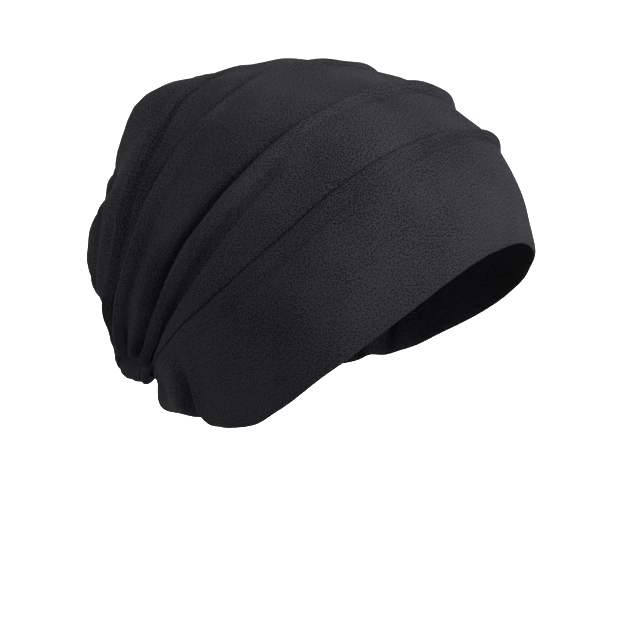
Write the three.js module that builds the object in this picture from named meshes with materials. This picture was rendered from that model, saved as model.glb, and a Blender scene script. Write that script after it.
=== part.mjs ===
// A slouchy pleated head cap of cotton jersey: a wide front band, four overlapping pleats and a
// rounded back. Every piece is a closed wall of cloth that runs once round the cap.
// Millimetres, +Z up. The wearer faces -Y. The origin is where the top of the head sits.

import * as THREE from 'three';
import { mergeVertices } from 'three/addons/utils/BufferGeometryUtils.js';

// Cloth
const CLOTH = 1.8; // jersey laid double, as a panel's wall
const LAP = 0.2; // how far a fold's underside lies below the panels
const TUCKED = 1; // how far a panel's front edge lies below the panels, under the fold before it
const TUCK_SHARE = 0.6; // part of a fold that the next panel reaches under
const FOLD_SHARE = 0.45; // most of a narrow panel that its fold takes up
const CREASE_REACH = 2.5; // from a fold to the middle of the crease in front of it
const CREASE_WIDTH = 8; // from a fold to the end of that crease
const RIM_ROUND = 0.4; // rounding of the rim's edge

// Shape of a loop: 2 is an ellipse, more is squarer
const SQUARENESS = 2.3;

// The cap hangs on closed loops. Each lies in a tilted plane through its top and its nape point,
// both on the plane X = 0, and bows forwards at its sides. The rim sits higher on the wearer's left.
const LOOPS = [
  { name: 'rim', topY: -93, topZ: -68, napeY: 54, napeZ: -155, halfWidth: 73, bow: 24, bowLeft: 14 },
  { name: 'band edge', topY: -64, topZ: -17, napeY: 76, napeZ: -144, halfWidth: 80, bow: 10 },
  { name: 'first fold', topY: -25, topZ: 1, napeY: 83, napeZ: -150, halfWidth: 76, bow: 2 },
  { name: 'second fold', topY: 20, topZ: 3.5, napeY: 93, napeZ: -151, halfWidth: 75, bow: 1 },
  { name: 'third fold', topY: 57, topZ: -2, napeY: 101, napeZ: -145, halfWidth: 67, bow: 3 },
  { name: 'fourth fold', topY: 102, topZ: -47, napeY: 104, napeZ: -123, halfWidth: 51, bow: 3 },
];

// The rounded back bulges from the last loop by its depth
const BACK = { name: 'crown_back', depth: 19, color: 0x29282d };
const LAST_LOOP = LOOPS[LOOPS.length - 1];
const BACK_MIDDLE = new THREE.Vector3(
  0, (LAST_LOOP.topY + LAST_LOOP.napeY) / 2, (LAST_LOOP.topZ + LAST_LOOP.napeZ) / 2,
);
const BACK_AXIS = new THREE.Vector3(
  0, LAST_LOOP.topZ - LAST_LOOP.napeZ, LAST_LOOP.napeY - LAST_LOOP.topY,
).normalize();

// One piece between each two loops, ending in a fold at the second. Pairs give the size at the top
// of the head and at the sides and nape. A panel is rounded with crownRadius, less at its sides.
const PLEATS = [
  { name: 'front_band', foldHeight: [2.6, 3], foldWidth: [6, 7], crease: [0.6, 1.2],
    crownRadius: 85, sideRound: 1, color: 0x35343a },
  { name: 'first_pleat', foldHeight: [3.4, 6.4], foldWidth: [7, 9], crease: [1, 3.2],
    crownRadius: 120, sideRound: 1, color: 0x313036 },
  { name: 'second_pleat', foldHeight: [2.8, 5], foldWidth: [6, 8], crease: [1, 2.4],
    crownRadius: 100, sideRound: 0.9, color: 0x2d2c31 },
  { name: 'third_pleat', foldHeight: [2.4, 3.6], foldWidth: [5, 7], crease: [0.8, 1.5],
    crownRadius: 80, sideRound: 0.6, color: 0x2a292e },
  { name: 'fourth_pleat', foldHeight: [2.2, 3], foldWidth: [5, 6], crease: [0.8, 1],
    crownRadius: 32, sideRound: 0.3, color: 0x28272c },
];

// The band hangs slack in a lobe on each side of the nape
const NAPE_LOBE = { depth: 8, start: 110, full: 145, narrow: 150, end: 176 };

// Where the folds grow from their size at the top to their size at the sides, in degrees
const SIDE_START = 20;
const SIDE_FULL = 125;

// Facets
const STATIONS = 48; // steps round a loop
const STATION_SHIFT = 0.15; // sets the steps closer at the top and the nape
const BACK_RINGS = 7; // steps from the last fold to the centre of the back
const BACK_FLAT = 0.08; // part of the back round its centre that faces straight back
const NORMAL_STEP = 3; // half the length over which the direction outwards is taken
const NORMAL_TURN = THREE.MathUtils.degToRad(2);

const signedPower = (value, power) => Math.sign(value) * Math.abs(value) ** power;
const mix = (pair, share) => pair[0] + (pair[1] - pair[0]) * share;

// Turn from the top of a loop, in degrees from 0 to 180 on either side
function turnFromTop(phi) {
  return THREE.MathUtils.radToDeg(Math.abs(Math.atan2(Math.sin(phi), Math.cos(phi))));
}

// Point of a loop: phi is 0 at the top, a quarter turn on the wearer's right, half a turn at the nape
function loopPoint(loop, phi) {
  const along = signedPower(Math.cos(phi), 2 / SQUARENESS);
  const across = signedPower(Math.sin(phi), 2 / SQUARENESS);
  const halfY = (loop.topY - loop.napeY) / 2;
  const halfZ = (loop.topZ - loop.napeZ) / 2;
  const length = Math.hypot(halfY, halfZ);
  const fullBow = Math.sin(phi) < 0 ? loop.bowLeft ?? loop.bow : loop.bow;
  const bow = fullBow * Math.sin(phi) ** 2;
  return new THREE.Vector3(
    -loop.halfWidth * across,
    (loop.topY + loop.napeY) / 2 + halfY * along - bow * halfZ / length,
    (loop.topZ + loop.napeZ) / 2 + halfZ * along + bow * halfY / length,
  );
}

function panelWidth(index, phi) {
  return loopPoint(LOOPS[index], phi).distanceTo(loopPoint(LOOPS[index + 1], phi));
}

function napeLobe(phi) {
  const turn = turnFromTop(phi);
  const rise = THREE.MathUtils.smoothstep(turn, NAPE_LOBE.start, NAPE_LOBE.full);
  const fall = 1 - THREE.MathUtils.smoothstep(turn, NAPE_LOBE.narrow, NAPE_LOBE.end);
  return NAPE_LOBE.depth * rise * fall;
}

// Panel between two loops: straight across, plus a rounding square to the straight line
function panelPoint(index, share, phi) {
  const front = loopPoint(LOOPS[index], phi);
  const rear = loopPoint(LOOPS[index + 1], phi);
  const chord = rear.clone().sub(front);
  const middle = (angle) => loopPoint(LOOPS[index], angle).add(loopPoint(LOOPS[index + 1], angle));
  const around = middle(phi + NORMAL_TURN).sub(middle(phi - NORMAL_TURN));
  const outwards = chord.clone().cross(around).normalize();
  const pleat = PLEATS[index];
  const roundness = pleat.sideRound + (1 - pleat.sideRound) * Math.max(Math.cos(phi), 0) ** 2;
  const crown = roundness * chord.lengthSq() / (8 * pleat.crownRadius);
  const lobe = index === 0 ? napeLobe(phi) * Math.sin(Math.PI * share) ** 2 : 0;
  const rise = 4 * share * (1 - share) * crown + lobe;
  return front.addScaledVector(chord, share).addScaledVector(outwards, rise);
}

// The back closes the last loop like a shallow bowl
function backPoint(share, phi) {
  const edge = loopPoint(LAST_LOOP, phi).sub(BACK_MIDDLE);
  const angle = share * Math.PI / 2;
  return BACK_MIDDLE.clone().addScaledVector(edge, Math.cos(angle))
    .addScaledVector(BACK_AXIS, BACK.depth * Math.sin(angle));
}

function pieceIndex(v) {
  return THREE.MathUtils.clamp(Math.ceil(v) - 1, 0, PLEATS.length - 1);
}

// The whole cap: v is 0 at the rim, a whole number at each loop and one more at the back's centre
function capPoint(v, phi) {
  if (v > PLEATS.length) return backPoint(v - PLEATS.length, phi);
  const index = pieceIndex(v);
  return panelPoint(index, v - index, phi);
}

// Direction outwards, taken over a few millimetres so that it turns smoothly at the folds
function outwardsAt(v, phi) {
  const last = PLEATS.length + 1;
  if (v > last - BACK_FLAT) return BACK_AXIS.clone();
  const step = Math.min(NORMAL_STEP / panelWidth(pieceIndex(v), phi), 0.5);
  const along = capPoint(Math.min(v + step, last), phi).sub(capPoint(Math.max(v - step, 0), phi));
  const around = capPoint(v, phi + NORMAL_TURN).sub(capPoint(v, phi - NORMAL_TURN));
  return along.cross(around).normalize();
}

// Size of a fold: a narrow panel has a smaller one
function foldSize(index, phi) {
  const pleat = PLEATS[index];
  const side = THREE.MathUtils.smoothstep(turnFromTop(phi), SIDE_START, SIDE_FULL);
  const fullWidth = mix(pleat.foldWidth, side);
  const width = Math.min(fullWidth, FOLD_SHARE * panelWidth(index, phi));
  const scale = width / fullWidth;
  return { width, height: mix(pleat.foldHeight, side) * scale, crease: mix(pleat.crease, side) * scale };
}

// Front edge of the piece behind a fold, which reaches under that fold
function tuckedEdge(index, phi) {
  const reach = TUCK_SHARE * foldSize(index, phi).width / panelWidth(index, phi);
  return index + 1 - reach;
}

// Section of a pleat over the outside to its fold and back along the inside. Each row is a place
// from front to back, as v, and a height above the panels.
function pleatSection(index, phi) {
  const width = panelWidth(index, phi);
  const fold = foldSize(index, phi);
  const flat = width - fold.width;
  const crease = fold.width + Math.min(CREASE_REACH, 0.15 * flat);
  const creaseEnd = fold.width + Math.min(CREASE_WIDTH, 0.4 * flat);
  const middle = fold.width + 0.6 * flat;
  const front = fold.width + 0.8 * flat;
  const outside = [
    [front, 0], [middle, 0], [creaseEnd, 0], [crease, -fold.crease],
    [0.85 * fold.width, 0.35 * fold.height], [0.55 * fold.width, 0.9 * fold.height],
    [0.2 * fold.width, fold.height], [0, 0.45 * fold.height], [0.15 * fold.width, -LAP],
  ];
  const inside = [
    [fold.width, -LAP], [crease, -fold.crease - CLOTH], [creaseEnd, -CLOTH], [middle, -CLOTH],
    [front, -CLOTH],
  ];
  const walls = [...outside, ...inside].map(([ahead, height]) => [index + 1 - ahead / width, height]);
  if (index === 0) {
    const rim = RIM_ROUND / width;
    return [[0, -RIM_ROUND], [rim, 0], ...walls, [rim, -CLOTH], [0, RIM_ROUND - CLOTH]];
  }
  const edge = tuckedEdge(index - 1, phi);
  return [[edge, -TUCKED], [index, -TUCKED], ...walls,
    [index, -TUCKED - CLOTH], [edge, -TUCKED - CLOTH]];
}

// Section of the back: from its tucked edge over the outside to its centre, and back inside
function backSection(phi) {
  const start = PLEATS.length;
  const outside = [[tuckedEdge(start - 1, phi), -TUCKED], [start, -TUCKED]];
  for (let ring = 1; ring <= BACK_RINGS; ring += 1) outside.push([start + ring / BACK_RINGS, 0]);
  const inside = outside.map(([v, height]) => [v, height - CLOTH]).reverse();
  return [...outside, ...inside];
}

// Joins the grid's edges, so that the wall is one closed body, and drops its collapsed triangles
function closedGeometry(grid) {
  grid.deleteAttribute('uv');
  grid.deleteAttribute('normal');
  const merged = mergeVertices(grid);
  const corners = merged.index.array;
  const kept = [];
  for (let i = 0; i < corners.length; i += 3) {
    const [a, b, c] = corners.slice(i, i + 3);
    if (a !== b && b !== c && c !== a) kept.push(a, b, c);
  }
  merged.setIndex(kept);
  merged.computeVertexNormals();
  return merged;
}

// A wall of cloth: a flat grid whose columns follow the section and whose rows go round the cap
function clothWall({ name, color }, sectionAt) {
  const columns = sectionAt(0).length;
  const grid = new THREE.PlaneGeometry(1, 1, columns, STATIONS);
  for (let row = 0; row <= STATIONS; row += 1) {
    const turn = 2 * Math.PI * (row % STATIONS) / STATIONS;
    const phi = STATION_SHIFT * Math.sin(2 * turn) - turn;
    const points = sectionAt(phi).map(
      ([v, height]) => capPoint(v, phi).addScaledVector(outwardsAt(v, phi), height),
    );
    for (let column = 0; column <= columns; column += 1) {
      const point = points[column % columns];
      grid.attributes.position.setXYZ(row * (columns + 1) + column, point.x, point.y, point.z);
    }
  }
  const material = new THREE.MeshStandardMaterial({ color, roughness: 0.95, metalness: 0 });
  const mesh = new THREE.Mesh(closedGeometry(grid), material);
  mesh.name = name;
  return mesh;
}

const cap = new THREE.Group();
cap.name = 'cotton_cap';
PLEATS.forEach((pleat, index) => cap.add(clothWall(pleat, (phi) => pleatSection(index, phi))));
cap.add(clothWall(BACK, backSection));

export default cap;
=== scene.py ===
# A slouchy pleated head cap of black cotton jersey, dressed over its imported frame.
# Blender works in metres and the tables below are in millimetres. The wearer faces -Y.

import bmesh
import bpy
import numpy as np
from mathutils import Matrix, Vector


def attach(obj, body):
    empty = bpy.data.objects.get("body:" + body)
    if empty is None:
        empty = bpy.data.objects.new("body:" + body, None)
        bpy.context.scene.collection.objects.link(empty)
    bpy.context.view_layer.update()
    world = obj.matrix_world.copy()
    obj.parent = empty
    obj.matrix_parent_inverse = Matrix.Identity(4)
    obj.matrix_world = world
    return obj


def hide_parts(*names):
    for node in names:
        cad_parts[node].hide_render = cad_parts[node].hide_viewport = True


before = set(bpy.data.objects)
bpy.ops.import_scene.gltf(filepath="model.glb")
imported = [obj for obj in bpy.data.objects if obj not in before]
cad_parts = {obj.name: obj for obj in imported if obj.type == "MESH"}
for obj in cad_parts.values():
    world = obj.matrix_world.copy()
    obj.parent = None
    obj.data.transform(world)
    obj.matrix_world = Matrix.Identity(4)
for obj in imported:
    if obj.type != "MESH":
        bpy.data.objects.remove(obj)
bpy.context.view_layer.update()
MM = 0.001

# The camera stands at the wearer's right front, a little above the cap and 1.3 m from it.
# The picture is square, and its lens is long, so that the cap nearly fills the width.
CAMERA = {"azimuth": -50, "elevation": 15, "distance": 1300, "lens": 160.9, "sensor": 36}
CAMERA_SIGHT = 100  # metres, past the far end of the floor
CAP_MIDDLE = (0, -4, -80)
AIM_LEFT = 6.8  # the middle of the picture lies left of the cap's middle
AIM_DOWN = 30.5  # and below it

azimuth = np.radians(CAMERA["azimuth"])
elevation = np.radians(CAMERA["elevation"])
camera_back = Vector((
    np.sin(azimuth) * np.cos(elevation),
    -np.cos(azimuth) * np.cos(elevation),
    np.sin(elevation),
))
camera_right = Vector((np.cos(azimuth), np.sin(azimuth), 0))
camera_up = camera_back.cross(camera_right)
aim = Vector(CAP_MIDDLE) - camera_right * AIM_LEFT - camera_up * AIM_DOWN

lens = bpy.data.cameras.new("camera")
lens.sensor_width = CAMERA["sensor"]
lens.lens = CAMERA["lens"]
lens.clip_end = CAMERA_SIGHT
camera = bpy.data.objects.new("camera", lens)
bpy.context.collection.objects.link(camera)
camera.location = (aim + camera_back * CAMERA["distance"]) * MM
camera.rotation_euler = Matrix((camera_right, camera_up, camera_back)).transposed().to_euler()
bpy.context.scene.camera = camera

# The front band is a tube of smooth cotton jersey, folded double at the rim, so that it has a
# clean rounded edge and no hem. It is stretched as worn, with its upper edge rolled over the
# first pleat, and it hangs slack in a pocket and a lobe on each side of the nape.
JERSEY = 0.9  # thickness of one layer
ROUND_STEPS = 336  # steps round the cap
SQUARENESS = 2.3  # shape of a loop: 2 is an ellipse, more is squarer
NORMAL_STEP = 3  # half the length over which the direction outwards is taken
NORMAL_SHARE = 0.5  # the most of a panel that this half takes
NORMAL_TURN = np.radians(2)
WELD = 0.01  # points closer than this are joined

# The cap hangs on these closed loops. Each lies in a tilted plane through its top and its nape
# point, both on the plane X = 0, and its sides bow forwards, the wearer's right one given first.
LOOPS = (
    {"name": "rim", "top": (-93, -68), "nape": (54, -155), "half_width": 73, "bow": (24, 14)},
    {"name": "band edge", "top": (-64, -17), "nape": (76, -144), "half_width": 80, "bow": (10, 10)},
    {"name": "first fold", "top": (-25, 1), "nape": (83, -150), "half_width": 76, "bow": (2, 2)},
    {"name": "second fold", "top": (20, 3.5), "nape": (93, -151), "half_width": 75, "bow": (1, 1)},
    {"name": "third fold", "top": (57, -2), "nape": (101, -145), "half_width": 67, "bow": (3, 3)},
    {"name": "fourth fold", "top": (102, -47), "nape": (104, -123), "half_width": 51, "bow": (3, 3)},
)

# A panel joins each two loops. It is rounded with crown_radius along its top, and side_round is
# the share of that rounding that its sides have.
PANELS = (
    {"piece": "front_band", "crown_radius": 85, "side_round": 1},
    {"piece": "first_pleat", "crown_radius": 120, "side_round": 1},
    {"piece": "second_pleat", "crown_radius": 100, "side_round": 0.9},
    {"piece": "third_pleat", "crown_radius": 80, "side_round": 0.6},
    {"piece": "fourth_pleat", "crown_radius": 32, "side_round": 0.3},
)
PANEL_COUNT = len(PANELS)
NAPE_LOBE = {"depth": 8, "start": 110, "full": 145, "narrow": 150, "end": 176}  # turns in degrees
BACK = {"depth": 19, "flat": 0.08}  # flat is the share at its middle that faces straight back

# Where each loop's line really lies, as a shift in shares of a panel, at some turns from the top:
# a turn is in degrees, positive on the wearer's right.
LINE_SHIFTS = {
    "turn": (-180, -150, -120, -90, -60, -40, -20, -10, 0, 10, 25,
             45, 60, 75, 90, 100, 110, 120, 135, 150, 180),
    "rim": (0, 0, 0, 0.03, 0.06, 0.08, 0.08, 0.06, 0.035, 0, -0.02,
            -0.005, 0.015, 0.03, -0.01, -0.04, 0, 0.03, 0.08, 0.04, 0),
    "band edge": (0, 0, 0.05, 0.03, 0, 0, 0, 0, 0, 0, 0,
                  0, 0, 0.01, 0.03, 0.07, 0.06, 0.02, 0, 0, 0),
    "first fold": (0, -0.08, -0.2, -0.12, -0.22, -0.3, -0.27, -0.2, -0.14, -0.12, -0.1,
                   -0.09, -0.09, -0.08, -0.1, -0.24, -0.38, -0.46, -0.4, -0.15, 0),
    "second fold": (0, -0.05, -0.15, -0.15, -0.2, -0.28, -0.26, -0.18, -0.1, -0.05, -0.02,
                    0, 0, -0.02, -0.08, -0.12, -0.19, -0.24, -0.18, -0.05, 0),
    "third fold": (0, 0, -0.2, -0.25, -0.12, -0.1, -0.1, -0.08, -0.06, -0.05, -0.06,
                   -0.1, -0.12, -0.24, -0.48, -0.68, -0.68, -0.55, -0.3, -0.1, 0),
    "fourth fold": (0, 0, 0, -0.1, -0.1, -0.1, 0, 0, 0, 0, 0,
                    -0.1, -0.22, -0.4, -0.5, -0.48, -0.35, -0.15, 0, 0, 0),
}

# Where the slack cloth stands out or sinks in, on both sides. The place is 0 at the rim, a whole
# number at each loop and 6 at the middle of the back.
SLACK = (
    {"name": "corner of the hump", "place": 4.2, "turn": 30, "reach": (0.4, 10), "rise": 2.8},
    {"name": "dip before the hump", "place": 4.25, "turn": 6, "reach": (0.35, 9), "rise": -3},
    {"name": "dip before the second fold", "place": 2.25, "turn": 14, "reach": (0.35, 9), "rise": -2.6},
    {"name": "waist behind the third fold", "place": 5, "turn": 58, "reach": (0.7, 15), "rise": -6.5},
    {"name": "drawn-in side of the bag", "place": 4.4, "turn": 127, "reach": (1, 11), "rise": -5},
    {"name": "sag under the fold tips", "place": 2.1, "turn": 148, "reach": (1.1, 7), "rise": 6.6},
    {"name": "flared rim beside the pocket", "place": 0, "turn": 110, "reach": (0.25, 10), "rise": 1.5},
    {"name": "rounded corner of the lobe", "place": 0.65, "turn": 134, "reach": (0.25, 6), "rise": -3.5},
    {"name": "drawn-in third pleat", "place": 3.4, "turn": 125, "reach": (0.7, 9), "rise": -3},
)

# Soft ridges and creases that run along a pleat, and how far they spread to each side
LONG_FOLDS = (
    {"name": "broad ridge of the second pleat",
     "turn": (50, 62, 80, 90, 100, 110, 120, 130, 137),
     "place": (2.14, 2.14, 2.24, 2.33, 2.2, 2.08, 2, 2, 2),
     "rise": (0, 1.2, 2, 2.4, 2.6, 2.8, 2.8, 2.4, 0),
     "spread": 4},
    {"name": "valley before the third fold",
     "turn": (20, 40, 70, 92, 110),
     "place": (3.4, 3.36, 3.28, 3.1, 3.05),
     "rise": (0, -2.2, -3.2, -2.6, 0),
     "spread": 6},
    {"name": "crease of the fourth pleat",
     "turn": (60, 75, 90, 105, 118),
     "place": (4.1, 4.05, 3.9, 3.8, 3.8),
     "rise": (0, -1.5, -2, -1.5, 0),
     "spread": 4},
)

# Folds that run across the pleats, at a turn that changes from the rim to the back
CROSS_FOLDS = (
    {"name": "pocket beside the nape",
     "place": (0, 0.2, 0.45, 0.75, 1),
     "turn": (127, 125, 118.5, 112, 110),
     "rise": (-3, -7, -8.5, -2.5, 0),
     "spread": 4.5},
    {"name": "lip of the pocket",
     "place": (0, 0.2, 0.5, 0.8, 1),
     "turn": (121, 119, 112, 106, 104),
     "rise": (0.8, 1.6, 1.8, 0.6, 0),
     "spread": 4},
    {"name": "crease under the fold tips",
     "place": (1.4, 2, 3, 3.6),
     "turn": (139, 138.5, 137, 136),
     "rise": (0, -4.5, -4.5, 0),
     "spread": 2.5},
)

# Slack waves of the cloth: counts round the cap and across a panel
WAVES = (
    {"round": 5, "across": 0.7, "rise": 0.5, "start": 0.4},
    {"round": 9, "across": -1.1, "rise": 0.3, "start": 2.1},
    {"round": 14, "across": 1.7, "rise": 0.18, "start": 4.0},
    {"round": 23, "across": -0.6, "rise": 0.1, "start": 1.2},
)


def turn_right(phi):
    """Turn from the top of a loop in degrees, positive on the wearer's right."""
    return np.degrees(np.arctan2(np.sin(phi), np.cos(phi)))


def turn_from_top(phi):
    """The same turn without its side."""
    return np.abs(turn_right(phi))


def smoothstep(value, start, end):
    """Rises smoothly from 0 at the start to 1 at the end."""
    share = np.clip((value - start) / (end - start), 0, 1)
    return share * share * (3 - 2 * share)


def smooth_between(value, places, sizes):
    """Sizes given at some places, joined by smooth curves and level beyond the ends."""
    places = np.asarray(places, float)
    sizes = np.asarray(sizes, float)
    slopes = np.gradient(sizes, places)
    slopes[0] = slopes[-1] = 0
    value = np.clip(value, places[0], places[-1])
    step = np.clip(np.searchsorted(places, value, side="right") - 1, 0, len(places) - 2)
    length = places[step + 1] - places[step]
    share = (value - places[step]) / length
    rest = 1 - share
    return (
        sizes[step] * (1 + 2 * share) * rest**2
        + sizes[step + 1] * (3 - 2 * share) * share**2
        + slopes[step] * length * share * rest**2
        - slopes[step + 1] * length * rest * share**2
    )


def loop_points(loop, phi):
    """Points of a loop: phi is 0 at the top and a quarter turn on the wearer's right."""
    cosine, sine = np.cos(phi), np.sin(phi)
    along = np.sign(cosine) * np.abs(cosine) ** (2 / SQUARENESS)
    across = np.sign(sine) * np.abs(sine) ** (2 / SQUARENESS)
    half_y = (loop["top"][0] - loop["nape"][0]) / 2
    half_z = (loop["top"][1] - loop["nape"][1]) / 2
    length = np.hypot(half_y, half_z)
    bow_right, bow_left = loop["bow"]
    bow = np.where(sine < 0, bow_left, bow_right) * sine**2
    return np.stack((
        -loop["half_width"] * across,
        (loop["top"][0] + loop["nape"][0]) / 2 + half_y * along - bow * half_z / length,
        (loop["top"][1] + loop["nape"][1]) / 2 + half_z * along + bow * half_y / length,
    ), axis=-1)


def panel_width(index, phi):
    """Straight distance between a panel's two loops."""
    return np.linalg.norm(loop_points(LOOPS[index + 1], phi) - loop_points(LOOPS[index], phi), axis=-1)


def nape_lobe(phi):
    """Rise of the band's middle, where it hangs slack in a lobe on each side of the nape."""
    turn = turn_from_top(phi)
    rise = smoothstep(turn, NAPE_LOBE["start"], NAPE_LOBE["full"])
    return NAPE_LOBE["depth"] * rise * (1 - smoothstep(turn, NAPE_LOBE["narrow"], NAPE_LOBE["end"]))


def panel_points(index, share, phi):
    """Points between two loops: straight across, plus a rounding square to the straight line."""
    panel = PANELS[index]
    front = loop_points(LOOPS[index], phi)
    chord = loop_points(LOOPS[index + 1], phi) - front

    def middle(angle):
        return loop_points(LOOPS[index], angle) + loop_points(LOOPS[index + 1], angle)

    outwards = np.cross(chord, middle(phi + NORMAL_TURN) - middle(phi - NORMAL_TURN))
    outwards /= np.linalg.norm(outwards, axis=-1, keepdims=True)
    side_round = panel["side_round"]
    roundness = side_round + (1 - side_round) * np.maximum(np.cos(phi), 0) ** 2
    crown = roundness * np.sum(chord**2, axis=-1) / (8 * panel["crown_radius"])
    rise = 4 * share * (1 - share) * crown
    if index == 0:
        rise = rise + nape_lobe(phi) * np.sin(np.pi * share) ** 2
    return front + chord * share[..., None] + outwards * rise[..., None]


LAST_LOOP = LOOPS[-1]
BACK_MIDDLE = np.array((0, *(np.add(LAST_LOOP["top"], LAST_LOOP["nape"]) / 2)))
BACK_AXIS = np.array((
    0,
    LAST_LOOP["top"][1] - LAST_LOOP["nape"][1],
    LAST_LOOP["nape"][0] - LAST_LOOP["top"][0],
), float)
BACK_AXIS /= np.linalg.norm(BACK_AXIS)


def back_points(share, phi):
    """The back closes the last loop like a shallow bowl."""
    edge = loop_points(LAST_LOOP, phi) - BACK_MIDDLE
    angle = share * np.pi / 2
    rise = BACK["depth"] * np.sin(angle)
    return BACK_MIDDLE + edge * np.cos(angle)[..., None] + BACK_AXIS * rise[..., None]


def panel_index(place):
    """The panel that each place lies on, or the last one for a place on the back."""
    return np.clip(np.ceil(place) - 1, 0, PANEL_COUNT - 1).astype(int)


def cap_points(place, phi):
    """The whole cap before its folds: place is 0 at the rim and 6 at the middle of the back."""
    points = np.zeros(place.shape + (3,))
    index = panel_index(place)
    for number in range(PANEL_COUNT):
        here = (index == number) & (place <= PANEL_COUNT)
        points[here] = panel_points(number, place[here] - number, phi[here])
    behind = place > PANEL_COUNT
    points[behind] = back_points(place[behind] - PANEL_COUNT, phi[behind])
    return points


def widths_at(place, phi):
    """Width of the panel that each place lies on."""
    widths = np.zeros(place.shape)
    index = panel_index(place)
    for number in range(PANEL_COUNT):
        here = index == number
        widths[here] = panel_width(number, phi[here])
    return widths


def outwards_at(place, phi):
    """Direction outwards, taken over a few millimetres so that it turns smoothly at the folds."""
    step = np.minimum(NORMAL_STEP / widths_at(place, phi), NORMAL_SHARE)
    last = PANEL_COUNT + 1
    along = cap_points(np.minimum(place + step, last), phi) - cap_points(place - step, phi)
    around = cap_points(place, phi + NORMAL_TURN) - cap_points(place, phi - NORMAL_TURN)
    outwards = np.cross(along, around)
    flat = place > last - BACK["flat"]
    outwards[flat] = BACK_AXIS
    return outwards / np.linalg.norm(outwards, axis=-1, keepdims=True)


def shifted(place, phi):
    """Moves a place along the cap to where the real lines lie."""
    turn = turn_right(phi)
    shifts = [smooth_between(turn, LINE_SHIFTS["turn"], LINE_SHIFTS[loop["name"]]) for loop in LOOPS]
    shifts = np.stack((*shifts, np.zeros_like(turn)))
    start = np.clip(np.floor(place), 0, PANEL_COUNT).astype(int)
    share = place - start
    before = np.take_along_axis(shifts, start[None], axis=0)[0]
    after = np.take_along_axis(shifts, start[None] + 1, axis=0)[0]
    return place + before * (1 - share) + after * share


def relief(place, phi):
    """Rise of the cloth over the whole cap, in millimetres, from its soft folds and slack."""
    turn = turn_from_top(phi)
    rise = np.zeros_like(place)
    for spot in SLACK:
        reach_place, reach_turn = spot["reach"]
        away = ((place - spot["place"]) / reach_place) ** 2 + ((turn - spot["turn"]) / reach_turn) ** 2
        rise += spot["rise"] * np.exp(-away)
    width = widths_at(place, phi)
    for fold in LONG_FOLDS:
        ahead = (place - smooth_between(turn, fold["turn"], fold["place"])) * width
        rise += smooth_between(turn, fold["turn"], fold["rise"]) * np.exp(-((ahead / fold["spread"]) ** 2))
    around = np.linalg.norm(cap_points(place, phi + NORMAL_TURN) - cap_points(place, phi), axis=-1)
    degree = around / np.degrees(NORMAL_TURN)
    for fold in CROSS_FOLDS:
        beside = (turn - smooth_between(place, fold["place"], fold["turn"])) * degree
        depth = smooth_between(place, fold["place"], fold["rise"])
        rise += depth * np.exp(-((beside / fold["spread"]) ** 2))
    for wave in WAVES:
        angle = wave["round"] * phi + 2 * np.pi * wave["across"] * place + wave["start"]
        rise += wave["rise"] * np.sin(angle)
    return rise * (1 - smoothstep(place, PANEL_COUNT, PANEL_COUNT + 1))


# Each panel ends in a fold, with a valley in front of it. The sizes of both are given at these
# turns in degrees from the top, positive on the wearer's right.
FOLD_TURNS = (-142, -110, -60, -20, 0, 30, 45, 60, 90, 110, 132, 140)
FOLDS = [
    {"piece": "front_band",
     "width": (6, 6, 4, 3.4, 4, 6, 6, 7, 8, 8, 7, 6),
     "height": (1, 1.5, 2, 2.6, 2.2, 1.2, 1, 0.9, 0.9, 0.9, 1.1, 1),
     "valley": (0, 0.5, 1.2, 1.8, 1, 0.5, 0.5, 0.6, 0.5, 0.3, 0, 0),
     "valley_width": (3, 3, 3, 3, 3, 3, 3, 3, 3, 3, 3, 3)},
]
FOLD_SHARE = 0.45  # most of a narrow panel that its fold takes up
VALLEY_SHARE = 0.6  # most of a panel's flat part that its valley takes up

# The valley from its front on: ahead of the fold in shares of its width, plus past in
# millimetres, and deep in shares of its depth
VALLEY_ROWS = (
    {"steps": 8, "ahead": 1, "past": 0.5, "deep": 0},
    {"steps": 8, "ahead": 0.7, "past": 0, "deep": 1},
    {"steps": 8, "ahead": 0.2, "past": 0, "deep": 0.65},
)

# The fold, up its front, round its tip and back under it: ahead of the tip in shares of its
# width, up in shares of its height, and below the panel in millimetres
FOLD_ROWS = (
    {"steps": 6, "ahead": 0.95, "up": 0.12, "below": 0},
    {"steps": 6, "ahead": 0.7, "up": 0.6, "below": 0},
    {"steps": 6, "ahead": 0.42, "up": 1, "below": 0},
    {"steps": 5, "ahead": 0.14, "up": 0.8, "below": 0},
    {"steps": 5, "ahead": 0, "up": 0.3, "below": 0.27},
    {"steps": 5, "ahead": 0.12, "up": 0, "below": 0.81},
    {"steps": 5, "ahead": 0.35, "up": 0, "below": 0.9},
    {"steps": 1, "ahead": 0.6, "up": 0, "below": 1.05},
)


def size_at(index, name, phi):
    """One of the sizes of a fold, all round the cap."""
    return smooth_between(turn_right(phi), FOLD_TURNS, FOLDS[index][name])


def fold_width(index, phi):
    """Width of a fold, smaller where its panel is narrow."""
    return np.minimum(size_at(index, "width", phi), FOLD_SHARE * panel_width(index, phi))


def valley_width(index, phi):
    """Width of the valley before a fold, smaller where its panel is narrow."""
    flat = panel_width(index, phi) - fold_width(index, phi)
    return np.minimum(size_at(index, "valley_width", phi), VALLEY_SHARE * flat)


def panel_row(index, phi, steps, ahead, rise):
    """A row of a section: its steps to the next row, its place ahead of the panel's end, its rise."""
    return steps, index + 1 - ahead / panel_width(index, phi), rise


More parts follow.
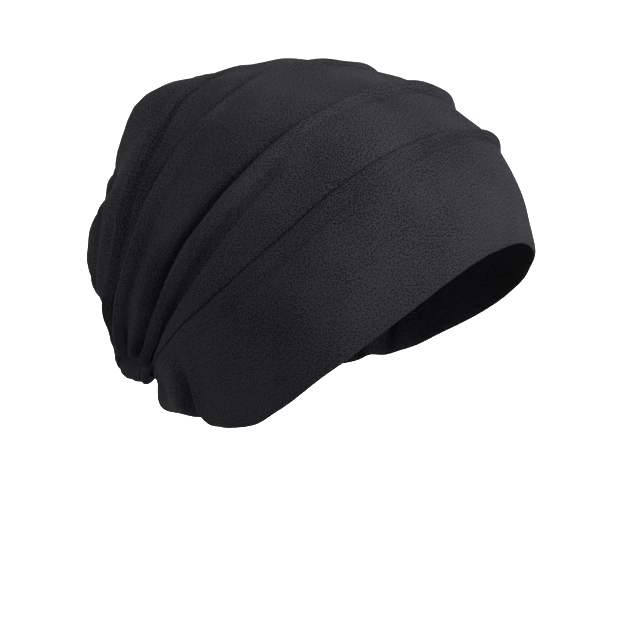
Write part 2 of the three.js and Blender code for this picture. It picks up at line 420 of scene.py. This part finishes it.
def fold_rows(index, phi):
    """Rows of a section that go through the valley, up the fold, round its tip and back under it."""
    fold = fold_width(index, phi)
    scale = fold / size_at(index, "width", phi)
    height = size_at(index, "height", phi) * scale
    depth = size_at(index, "valley", phi) * scale
    valley = valley_width(index, phi)
    rows = []
    for row in VALLEY_ROWS:
        rows.append((row["steps"], fold + row["ahead"] * valley + row["past"], -row["deep"] * depth))
    for row in FOLD_ROWS:
        rows.append((row["steps"], row["ahead"] * fold, row["up"] * height - row["below"]))
    return [panel_row(index, phi, *row) for row in rows]


def smooth_rows(rows, width):
    """Points on a smooth curve through rows of steps, place and rise, which never swings out
    beyond them. Width is the length in millimetres of one unit of place."""
    values = np.stack([np.stack(np.broadcast_arrays(place, rise)) for _, place, rise in rows])
    changes = np.diff(values, axis=0)
    spans = np.hypot(changes[:, 0] * width, changes[:, 1])[:, None]
    slopes = changes / spans
    same_way = slopes[:-1] * slopes[1:] > 0
    total = np.where(same_way, slopes[:-1] + slopes[1:], 1)
    inner = np.where(same_way, 2 * slopes[:-1] * slopes[1:] / total, 0)
    slopes = np.concatenate((slopes[:1], inner, slopes[-1:]))
    points = []
    for number, span in enumerate(spans):
        steps = rows[number][0]
        for share in np.arange(steps) / steps:
            rest = 1 - share
            points.append(
                values[number] * (1 + 2 * share) * rest**2
                + values[number + 1] * (3 - 2 * share) * share**2
                + slopes[number] * span * share * rest**2
                - slopes[number + 1] * span * rest * share**2
            )
    points.append(values[-1])
    return np.stack(points, axis=-1)


def cloth_sheet(name, section):
    """A closed tube of cloth: a flat grid whose columns follow the section and whose rows go round."""
    phi = np.pi + 2 * np.pi * np.arange(ROUND_STEPS + 1) / ROUND_STEPS
    place, height = section(phi)
    columns = place.shape[-1]
    phi = np.broadcast_to(phi[:, None], place.shape)
    place = shifted(place, phi)
    points = cap_points(place, phi)
    points = points + outwards_at(place, phi) * (height + relief(place, phi))[..., None]
    points[-1] = points[0]
    along = np.cumsum(np.linalg.norm(np.diff(points, axis=1, prepend=points[:, :1]), axis=-1), axis=1)
    middle = points[:, columns // 2]
    around = np.cumsum(np.linalg.norm(np.diff(middle, axis=0, prepend=middle[:1]), axis=-1))

    half = 0.5  # the grid is one unit wide, with its middle at 0
    shape = bmesh.new()
    bmesh.ops.create_grid(shape, x_segments=columns - 1, y_segments=ROUND_STEPS, size=half)
    knit = shape.loops.layers.uv.new("knit")
    spots = {}
    for vertex in shape.verts:
        column = round((vertex.co.x + half) * (columns - 1))
        row = round((vertex.co.y + half) * ROUND_STEPS)
        spots[vertex] = row, column
    for face in shape.faces:
        for loop in face.loops:
            row, column = spots[loop.vert]
            loop[knit].uv = around[row], along[row, column]
    for vertex, (row, column) in spots.items():
        vertex.co = points[row, column] * MM
    bmesh.ops.remove_doubles(shape, verts=shape.verts, dist=WELD * MM)
    bmesh.ops.recalc_face_normals(shape, faces=shape.faces)
    for face in shape.faces:
        face.smooth = True
    mesh = bpy.data.meshes.new(name)
    shape.to_mesh(mesh)
    shape.free()
    piece = bpy.data.objects.new(name, mesh)
    bpy.context.collection.objects.link(piece)
    layer = piece.modifiers.new("jersey", "SOLIDIFY")
    layer.thickness = JERSEY * MM
    layer.offset = -1
    return piece


def linear(hex_colour):
    """An sRGB hex value as linear red, green, blue and alpha."""
    channels = [int(hex_colour[start:start + 2], 16) / 255 for start in (1, 3, 5)]
    return (*(c / 12.92 if c <= 0.04045 else ((c + 0.055) / 1.055) ** 2.4 for c in channels), 1)


def add_node(tree, kind, inputs=(), **settings):
    """Adds a node. Inputs are pairs of a socket and the value or the output that goes into it."""
    node = tree.nodes.new(kind)
    for name, value in settings.items():
        setattr(node, name, value)
    for socket, value in inputs:
        if isinstance(value, bpy.types.NodeSocket):
            tree.links.new(value, node.inputs[socket])
        else:
            node.inputs[socket].default_value = value
    return node


# Cotton jersey: matt yarn, knitted fine and dyed black. Its face shows upright stitches, and
# short fibres stand off it and catch light. Real stitches are about 0.8 mm apart, too fine for
# the picture, so they are drawn at 1.1 mm.
STITCH_WIDTH = 1.1
STITCH_HEIGHT = 1
STITCH_DEPTH = 0.25
LOOP_RELIEF = 0.35  # of the loops, where the upright columns have 1
FLEECE_RELIEF = 1.6  # and of the fibres
FLEECE_SIZE = 0.65  # clumps of fibre on the face
SHADE_SIZE = 35  # slow changes in the dye
STITCH_TROUGH_SHADE = 0.03  # how much the stitches change the colour, painted shade that darkens their troughs and lightens their crests, where the fibres have 1
SHADE_TINT = 0.15  # and the dye
FIBRE_ENDS = (0.5, 0.64)  # pattern values at which fibre ends start to show, and cover the yarn


def jersey_material(name, yarn, worn):
    """Black jersey: yarn is its colour and worn that of the fibre ends on its face."""
    material = bpy.data.materials.new(name)
    material.use_nodes = True
    tree = material.node_tree
    tree.nodes.clear()
    cloth = add_node(tree, "ShaderNodeUVMap", uv_map="knit").outputs["UV"]
    split = add_node(tree, "ShaderNodeSeparateXYZ", [("Vector", cloth)])
    place = add_node(tree, "ShaderNodeTexCoord").outputs["Object"]

    def calculate(operation, *values):
        return add_node(tree, "ShaderNodeMath", enumerate(values), operation=operation).outputs[0]

    wale = calculate("DIVIDE", split.outputs["X"], STITCH_WIDTH)
    beside = calculate("PINGPONG", wale, 0.5)
    leg = calculate("ADD", calculate("DIVIDE", split.outputs["Y"], STITCH_HEIGHT), beside)
    loop_wave = calculate("SINE", calculate("MULTIPLY", leg, 2 * np.pi))
    column_wave = calculate("SINE", calculate("MULTIPLY", beside, 2 * np.pi))
    stitches = calculate("MULTIPLY_ADD", loop_wave, LOOP_RELIEF, column_wave)
    fleece = add_node(tree, "ShaderNodeTexNoise", [
        ("Vector", cloth), ("Scale", 1 / FLEECE_SIZE), ("Detail", 2), ("Roughness", 0.6),
    ]).outputs["Fac"]
    shade = add_node(tree, "ShaderNodeTexNoise", [
        ("Vector", place), ("Scale", 1 / (SHADE_SIZE * MM)), ("Detail", 2),
    ]).outputs["Fac"]
    height = calculate("MULTIPLY_ADD", fleece, FLEECE_RELIEF, stitches)
    dyed = calculate("MULTIPLY_ADD", shade, SHADE_TINT, fleece)
    # The stitches' share of the colour is painted shade: their troughs are drawn darker and their crests
    # lighter.
    pattern = calculate("MULTIPLY_ADD", stitches, STITCH_TROUGH_SHADE, dyed)
    mix_share = add_node(tree, "ShaderNodeMapRange", [
        ("Value", pattern), ("From Min", FIBRE_ENDS[0]), ("From Max", FIBRE_ENDS[1]),
    ]).outputs["Result"]
    # A colour mix numbers its sockets, because several share a name
    colour = add_node(tree, "ShaderNodeMix", [
        (0, mix_share), (6, linear(yarn)), (7, linear(worn)),
    ], data_type="RGBA").outputs[2]
    bump = add_node(tree, "ShaderNodeBump", [
        ("Height", height), ("Distance", STITCH_DEPTH * MM), ("Strength", 1),
    ])
    surface = add_node(tree, "ShaderNodeBsdfPrincipled", [
        ("Base Color", colour), ("Roughness", 0.92), ("Normal", bump.outputs["Normal"]),
        ("Specular IOR Level", 0.03), ("Sheen Weight", 0.008), ("Sheen Roughness", 0.5),
    ])
    add_node(tree, "ShaderNodeOutputMaterial", [("Surface", surface.outputs["BSDF"])])
    return material


# The band before its fold: from the upper edge of the inner layer down, round the rim and up the
# outer layer. Flat is a share of the panel's flat part, past is further towards the rim in
# millimetres, and below is the depth, 2 mm for the two layers with a small gap between them.
BAND_ROWS = (
    {"steps": 10, "flat": 0.1, "past": 0, "below": 3},
    {"steps": 14, "flat": 0.4, "past": 0, "below": 2},
    {"steps": 5, "flat": 1, "past": -2, "below": 2},
    {"steps": 5, "flat": 1, "past": 0.6, "below": 1},
    {"steps": 5, "flat": 1, "past": -2, "below": 0},
    {"steps": 16, "flat": 0.75, "past": 0, "below": 0},
    {"steps": 10, "flat": 0.35, "past": 0, "below": 0},
)


def band_section(phi):
    """From the top of the inner layer down to the rim, round it and up to the rolled edge."""
    width = panel_width(0, phi)
    fold = fold_width(0, phi)
    rows = []
    for row in BAND_ROWS:
        ahead = fold + row["flat"] * (width - fold) + row["past"]
        rows.append(panel_row(0, phi, row["steps"], ahead, -row["below"]))
    return smooth_rows(rows + fold_rows(0, phi), width)


band_jersey = jersey_material("black cotton jersey, stretched", yarn="#050407", worn="#2a292e")
front_band = cloth_sheet("front_band_cloth", band_section)
front_band.data.materials.append(band_jersey)
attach(front_band, "root")
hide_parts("front_band")

# Four pleats of the same jersey tube, each tucked under the fold before it and folded over the
# next. The first is the tallest. They run from the crown down both sides and meet at the nape.
# Each comes out from under a fold in a groove, which is deepest on the wearer's right.
FOLDS += [
    {"piece": "first_pleat",
     "width": (5, 6, 6, 5.5, 5.5, 6, 7, 8, 8.5, 5.5, 5, 5),
     "height": (0.4, 4, 4, 4.5, 2.8, 1.8, 2, 2.3, 3.2, 3.8, 3.6, 0.4),
     "valley": (0.3, 2, 4.2, 4.2, 1.4, 0, 0, 2, 5, 7.5, 5.5, 0.3),
     "valley_width": (3, 4, 3.5, 3, 3.5, 5, 7, 8, 7.5, 7, 6, 3),
     "groove": (-0.8, 1, 0.4, -0.6, -0.8, -0.9, -0.9, -0.9, -0.8, -0.6, 0, -0.8),
     "groove_width": (2, 2, 2, 2, 2, 2, 2, 2, 2, 2, 2, 2)},
    {"piece": "second_pleat",
     "width": (4.5, 7, 7, 8, 7, 6, 6, 7, 6, 4.5, 4.5, 4.5),
     "height": (0.4, 3, 2.6, 2.6, 1.8, 1.6, 1.6, 1.8, 2.6, 3.2, 3.2, 0.4),
     "valley": (0.3, 2, 2.4, 3, 1, 0, 0.2, 0.6, 1.6, 2.4, 2.4, 0.3),
     "valley_width": (3, 3, 3, 3, 3, 3, 3, 4, 4, 3, 3, 3),
     "groove": (-0.8, 3, 1, -0.5, -1.1, -1.1, -0.4, 2, 7, 9, 7, -0.8),
     "groove_width": (2, 4, 3, 2, 2, 2, 2.5, 4, 6.5, 6.5, 5.5, 2)},
    {"piece": "third_pleat",
     "width": (4.5, 5, 4.5, 4.5, 4.5, 5, 6.5, 7.5, 5, 4.5, 4.5, 4.5),
     "height": (0.4, 2.6, 2.2, 1.6, 1.4, 1.4, 1.8, 2.2, 2.6, 2.8, 2.4, 0.4),
     "valley": (0.3, 1.2, 1, 0.8, 1, 2.4, 2.8, 2.8, 1.6, 0.8, 0.6, 0.3),
     "valley_width": (3, 3, 3, 3, 4, 5, 5.5, 5.5, 4, 3, 3, 3),
     "groove": (-0.8, 2.4, 1.4, 0.4, -0.4, -0.4, 0.2, 1.4, 8, 8, 4, -0.8),
     "groove_width": (2, 4, 4, 4, 5, 7, 9, 10, 9, 8, 6, 2)},
    {"piece": "fourth_pleat",
     "width": (4.5, 5, 4.5, 4.5, 4.5, 4.5, 4.5, 4.5, 4.5, 4.5, 4.5, 4.5),
     "height": (0.4, 2.2, 2, 2, 2, 0.8, 0.8, 0.8, 1.8, 2.2, 1.8, 0.4),
     "valley": (0.3, 0.8, 0.8, 0.8, 0.8, 0.8, 0.8, 0.8, 0.8, 0.8, 0.8, 0.3),
     "valley_width": (3, 3, 3, 3, 3, 3, 3, 3, 3, 3, 3, 3),
     "groove": (-0.8, 2, 1.2, 0, -1, -1, 0, 3, 7, 6, 2, -0.8),
     "groove_width": (2, 4, 3, 3, 3, 3, 5, 8, 8, 8, 5, 2)},
]
TUCK_SHARE = 0.85  # part of a fold that the next panel reaches under
TUCKED_EDGE = -1.05  # level of that panel's front edge
TUCKED_STEPS = 8  # steps of its section under the fold
GROOVE_SHARE = 0.9  # most of the rest of a panel's flat part that its groove takes up

# The groove, from under the tip of the fold before it: across in shares of its width, level in
# millimetres, and deep in shares of its depth
GROOVE_ROWS = (
    {"steps": 6, "across": 0, "level": -2.1, "deep": 1},
    {"steps": 8, "across": 0.5, "level": -1.4, "deep": 1},
    {"steps": 8, "across": 1, "level": -0.2, "deep": 0.15},
)


def tucked_edge(index, phi):
    """Place of the front edge of what lies behind a fold, which reaches under that fold."""
    return index + 1 - TUCK_SHARE * fold_width(index, phi) / panel_width(index, phi)


def pleat_section(index, phi):
    """From the front edge under the fold before, over the panel and its fold, and back under it."""
    width = panel_width(index, phi)
    rest = width - fold_width(index, phi) - valley_width(index, phi)
    groove = size_at(index, "groove", phi)
    groove_width = np.minimum(size_at(index, "groove_width", phi), GROOVE_SHARE * rest)
    rows = [(TUCKED_STEPS, tucked_edge(index - 1, phi), TUCKED_EDGE)]
    for row in GROOVE_ROWS:
        ahead = width - row["across"] * groove_width
        rows.append(panel_row(index, phi, row["steps"], ahead, row["level"] - row["deep"] * groove))
    return smooth_rows(rows + fold_rows(index, phi), width)


# The pleats and the back have their own copy of the jersey, with fibre ends drawn a little lighter than
# the band's: painted light that lifts their tone.
crown_jersey_painted_lighter = jersey_material("black cotton jersey, slack, painted lighter", yarn="#050407", worn="#2d2c31")
for index in range(1, PANEL_COUNT):
    node = PANELS[index]["piece"]
    pleat = cloth_sheet(node + "_cloth", lambda phi: pleat_section(index, phi))
    pleat.data.materials.append(crown_jersey_painted_lighter)
    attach(pleat, "root")
    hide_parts(node)

# The end of the same jersey tube closes the cap behind in a soft rounded bowl, slack and with no
# seam that shows. Its front edge is tucked under the fourth fold. Inwards is a share of the way
# from the last loop to the middle.
BACK_ROWS = (
    {"steps": 4, "inwards": 0, "level": -2.1},
    {"steps": 6, "inwards": 0.15, "level": -0.6},
    {"steps": 10, "inwards": 0.35, "level": 0},
    {"steps": 12, "inwards": 0.65, "level": 0},
    {"steps": 1, "inwards": 1, "level": 0},
)
BACK_TUCKED_STEPS = 6  # steps of its section under the fold


def back_section(phi):
    """From the front edge under the fourth fold to the middle of the back."""
    start = np.full_like(phi, PANEL_COUNT)
    rows = [(BACK_TUCKED_STEPS, tucked_edge(PANEL_COUNT - 1, phi), TUCKED_EDGE)]
    for row in BACK_ROWS:
        rows.append((row["steps"], start + row["inwards"], row["level"]))
    return smooth_rows(rows, np.linalg.norm(loop_points(LAST_LOOP, phi) - BACK_MIDDLE, axis=-1))


crown_back = cloth_sheet("crown_back_cloth", back_section)
crown_back.data.materials.append(crown_jersey_painted_lighter)
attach(crown_back, "root")
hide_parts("crown_back")

# A plain pale studio: a wide floor well below the cap under a white surround, a soft light from
# the right of the camera, and a light behind the cap that whitens the part of the floor in view.
FLOOR_DROP = 1200
FLOOR_SIZE = 24000
FLOOR_COLOUR = "#bcbcbc"
SURROUND_COLOUR = "#ffffff"
SURROUND = 1.4
LIGHTS = (
    {"name": "soft box", "place": (700, 350, 400), "aim": (0, 0, 0),
     "size": (450, 450), "power": 16.5},
    {"name": "backdrop light", "place": (0, -3800, 1100), "aim": (0, -5200, -1500),
     "size": (4000, 3000), "power": 600},
)

ground = bmesh.new()
bmesh.ops.create_grid(ground, x_segments=1, y_segments=1, size=FLOOR_SIZE / 2 * MM)
bmesh.ops.translate(ground, verts=ground.verts, vec=(0, 0, -FLOOR_DROP * MM))
floor_mesh = bpy.data.meshes.new("floor")
ground.to_mesh(floor_mesh)
ground.free()
floor = bpy.data.objects.new("floor", floor_mesh)
bpy.context.collection.objects.link(floor)
paint = bpy.data.materials.new("white studio paint")
paint.use_nodes = True
paint_surface = paint.node_tree.nodes["Principled BSDF"]
paint_surface.inputs["Base Color"].default_value = linear(FLOOR_COLOUR)
paint_surface.inputs["Roughness"].default_value = 0.9
floor.data.materials.append(paint)

studio_back = Vector((camera_back.x, camera_back.y, 0)).normalized()


def studio_point(right, back, up):
    """A point by its distances from the cap's middle: to the camera's right, towards it and up."""
    return Vector(CAP_MIDDLE) + camera_right * right + studio_back * back + Vector((0, 0, up))


for setting in LIGHTS:
    light = bpy.data.lights.new(setting["name"], "AREA")
    light.shape = "RECTANGLE"
    light.size, light.size_y = (length * MM for length in setting["size"])
    light.energy = setting["power"]
    lamp = bpy.data.objects.new(setting["name"], light)
    bpy.context.collection.objects.link(lamp)
    spot = studio_point(*setting["place"])
    lamp.location = spot * MM
    lamp.rotation_euler = (spot - studio_point(*setting["aim"])).to_track_quat("Z", "Y").to_euler()

world = bpy.data.worlds.new("studio surround")
world.use_nodes = True
sky = world.node_tree.nodes["Background"]
sky.inputs["Color"].default_value = linear(SURROUND_COLOUR)
sky.inputs["Strength"].default_value = SURROUND
bpy.context.scene.world = world
bpy.context.scene.view_settings.view_transform = "Standard"
